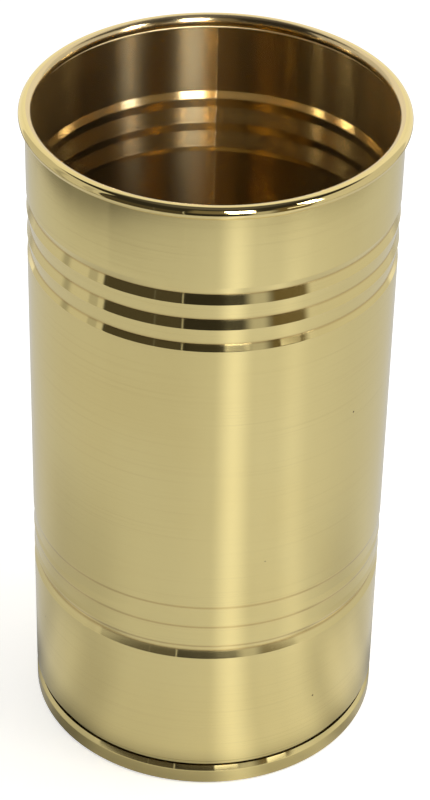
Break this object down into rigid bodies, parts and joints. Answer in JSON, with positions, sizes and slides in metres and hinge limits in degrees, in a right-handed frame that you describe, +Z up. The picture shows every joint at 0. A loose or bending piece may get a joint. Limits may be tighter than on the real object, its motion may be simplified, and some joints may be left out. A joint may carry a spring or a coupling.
{
  "type": "umbrella stand",
  "caption": "Tall cylindrical brass umbrella stand with a rolled rim, pressed ring grooves near the top and bottom, and a flush base pan.",
  "frame": {"origin": "centre of the base, on the floor", "axes": "+Z up along the stand's axis; +Y towards the brazed side seam at the back; +X to the right from the front"},
  "size_m": [0.2426, 0.2426, 0.46],
  "materials": {
    "polished_brass": "polished sheet brass",
    "brazing_metal": "dressed and polished braze",
    "tin_solder": "dull soft solder"
  },
  "bodies": {
    "root": {"body_shell": "polished_brass", "side_seam": "brazing_metal", "rim_tube": "polished_brass", "rim_solder": "tin_solder", "base_pan": "polished_brass", "base_solder": "tin_solder"}
  },
  "joints": []
}
